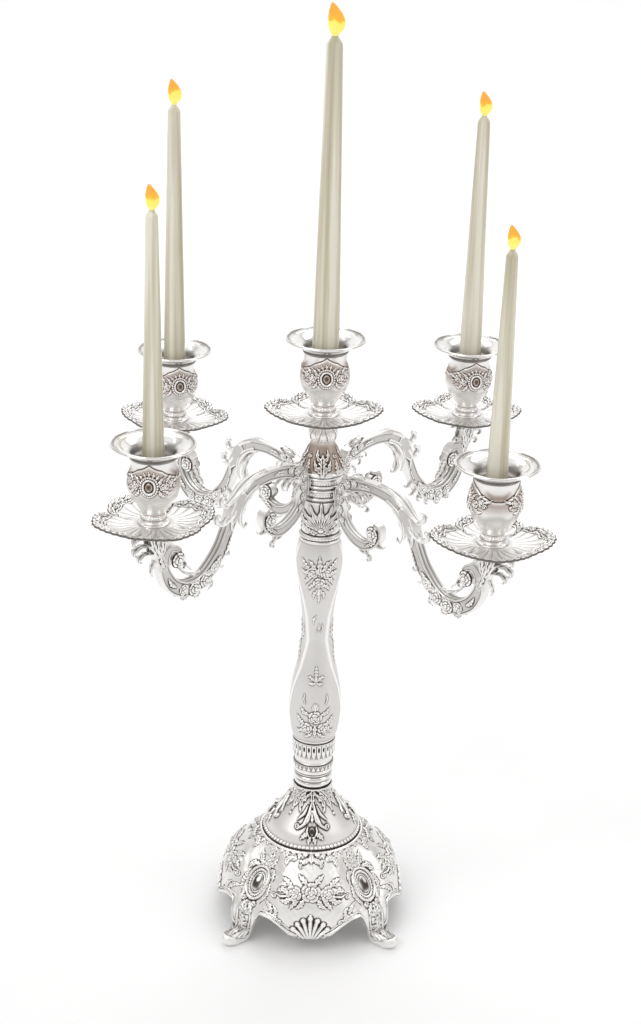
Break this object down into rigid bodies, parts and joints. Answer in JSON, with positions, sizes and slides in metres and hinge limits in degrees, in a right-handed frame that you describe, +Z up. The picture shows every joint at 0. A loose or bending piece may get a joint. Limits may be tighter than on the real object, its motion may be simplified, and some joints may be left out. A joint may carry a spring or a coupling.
{
  "type": "tabletop candelabra",
  "caption": "Silver-plated tabletop candelabra: lobed footed base, tapering column, scrolled branches and a raised centre light, with drip pans and flameless taper candles.",
  "frame": {"origin": "on the table, under the column's axis", "axes": "+Z up along the column; -Y is the front; the branches point between X and Y"},
  "size_m": [0.3364, 0.3376, 0.7533],
  "materials": {
    "silver_plate": "silver plated, polished, with darker recesses in the relief",
    "pearl_wax": "pearl ivory wax coat over a moulded shell",
    "flame_plastic": "translucent, yellow below and orange above, lit from inside",
    "cell_jacket": "printed sleeve without lettering",
    "circuit_board": "solder mask",
    "cap_plastic": "moulded",
    "zinc_steel": "zinc plated"
  },
  "bodies": {
    "stand": {"base_shell": "silver_plate", "base_dome": "silver_plate", "ring_collar": "silver_plate", "flute_collar": "silver_plate", "shaft": "silver_plate", "capital": "silver_plate", "tie_rod": "zinc_steel", "clamp_plate": "zinc_steel", "base_nut": "zinc_steel", "neck": "silver_plate", "drip_pan_centre": "silver_plate", "candle_cup_centre": "silver_plate"},
    "lower_branches": {"hub_ring_lower": "silver_plate", "studs_lower": "zinc_steel", "branch_back_left": "silver_plate", "drip_pan_back_left": "silver_plate", "candle_cup_back_left": "silver_plate", "branch_front_right": "silver_plate", "drip_pan_front_right": "silver_plate", "candle_cup_front_right": "silver_plate"},
    "upper_branches": {"hub_ring_upper": "silver_plate", "studs_upper": "zinc_steel", "branch_back_right": "silver_plate", "drip_pan_back_right": "silver_plate", "candle_cup_back_right": "silver_plate", "branch_front_left": "silver_plate", "drip_pan_front_left": "silver_plate", "candle_cup_front_left": "silver_plate"},
    "nozzle_centre": {"nozzle_centre": "silver_plate"},
    "candle_centre": {"candle_centre": "pearl_wax", "flame_tip_centre": "flame_plastic", "battery_cells_centre": "cell_jacket", "led_board_centre": "circuit_board"},
    "battery_cap_centre": {"battery_cap_centre": "cap_plastic"},
    "nozzle_back_right": {"nozzle_back_right": "silver_plate"},
    "candle_back_right": {"candle_back_right": "pearl_wax", "flame_tip_back_right": "flame_plastic", "battery_cells_back_right": "cell_jacket", "led_board_back_right": "circuit_board"},
    "battery_cap_back_right": {"battery_cap_back_right": "cap_plastic"},
    "nozzle_back_left": {"nozzle_back_left": "silver_plate"},
    "candle_back_left": {"candle_back_left": "pearl_wax", "flame_tip_back_left": "flame_plastic", "battery_cells_back_left": "cell_jacket", "led_board_back_left": "circuit_board"},
    "battery_cap_back_left": {"battery_cap_back_left": "cap_plastic"},
    "nozzle_front_left": {"nozzle_front_left": "silver_plate"},
    "candle_front_left": {"candle_front_left": "pearl_wax", "flame_tip_front_left": "flame_plastic", "battery_cells_front_left": "cell_jacket", "led_board_front_left": "circuit_board"},
    "battery_cap_front_left": {"battery_cap_front_left": "cap_plastic"},
    "nozzle_front_right": {"nozzle_front_right": "silver_plate"},
    "candle_front_right": {"candle_front_right": "pearl_wax", "flame_tip_front_right": "flame_plastic", "battery_cells_front_right": "cell_jacket", "led_board_front_right": "circuit_board"},
    "battery_cap_front_right": {"battery_cap_front_right": "cap_plastic"}
  },
  "joints": [
    {"name": "lower_branches_swivel", "type": "hinge", "parent": "stand", "child": "lower_branches", "pos_m": [0, 0, 0.3815], "axis": [0, 0, 1], "continuous": true},
    {"name": "upper_branches_swivel", "type": "hinge", "parent": "lower_branches", "child": "upper_branches", "pos_m": [0, 0, 0.3915], "axis": [0, 0, 1], "range_deg": [-45, 45]},
    {"name": "nozzle_centre_lift", "type": "slide", "parent": "stand", "child": "nozzle_centre", "axis": [0, 0, 1], "range_m": [0, 0.045]},
    {"name": "candle_centre_lift", "type": "slide", "parent": "nozzle_centre", "child": "candle_centre", "axis": [0, 0, 1], "range_m": [0, 0.04]},
    {"name": "battery_cap_centre_twist", "type": "hinge", "parent": "candle_centre", "child": "battery_cap_centre", "pos_m": [0, 0, 0.472], "axis": [0, 0, 1], "range_deg": [0, 45]},
    {"name": "nozzle_back_right_lift", "type": "slide", "parent": "upper_branches", "child": "nozzle_back_right", "axis": [0, 0, 1], "range_m": [0, 0.045]},
    {"name": "candle_back_right_lift", "type": "slide", "parent": "nozzle_back_right", "child": "candle_back_right", "axis": [0, 0, 1], "range_m": [0, 0.04]},
    {"name": "battery_cap_back_right_twist", "type": "hinge", "parent": "candle_back_right", "child": "battery_cap_back_right", "pos_m": [0.12233, 0.12233, 0.4305], "axis": [0, 0, 1], "range_deg": [0, 45]},
    {"name": "nozzle_back_left_lift", "type": "slide", "parent": "lower_branches", "child": "nozzle_back_left", "axis": [0, 0, 1], "range_m": [0, 0.045]},
    {"name": "candle_back_left_lift", "type": "slide", "parent": "nozzle_back_left", "child": "candle_back_left", "axis": [0, 0, 1], "range_m": [0, 0.04]},
    {"name": "battery_cap_back_left_twist", "type": "hinge", "parent": "candle_back_left", "child": "battery_cap_back_left", "pos_m": [-0.12233, 0.12233, 0.4205], "axis": [0, 0, 1], "range_deg": [0, 45]},
    {"name": "nozzle_front_left_lift", "type": "slide", "parent": "upper_branches", "child": "nozzle_front_left", "axis": [0, 0, 1], "range_m": [0, 0.045]},
    {"name": "candle_front_left_lift", "type": "slide", "parent": "nozzle_front_left", "child": "candle_front_left", "axis": [0, 0, 1], "range_m": [0, 0.04]},
    {"name": "battery_cap_front_left_twist", "type": "hinge", "parent": "candle_front_left", "child": "battery_cap_front_left", "pos_m": [-0.12233, -0.12233, 0.4305], "axis": [0, 0, 1], "range_deg": [0, 45]},
    {"name": "nozzle_front_right_lift", "type": "slide", "parent": "lower_branches", "child": "nozzle_front_right", "axis": [0, 0, 1], "range_m": [0, 0.045]},
    {"name": "candle_front_right_lift", "type": "slide", "parent": "nozzle_front_right", "child": "candle_front_right", "axis": [0, 0, 1], "range_m": [0, 0.04]},
    {"name": "battery_cap_front_right_twist", "type": "hinge", "parent": "candle_front_right", "child": "battery_cap_front_right", "pos_m": [0.12233, -0.12233, 0.4205], "axis": [0, 0, 1], "range_deg": [0, 45]}
  ]
}
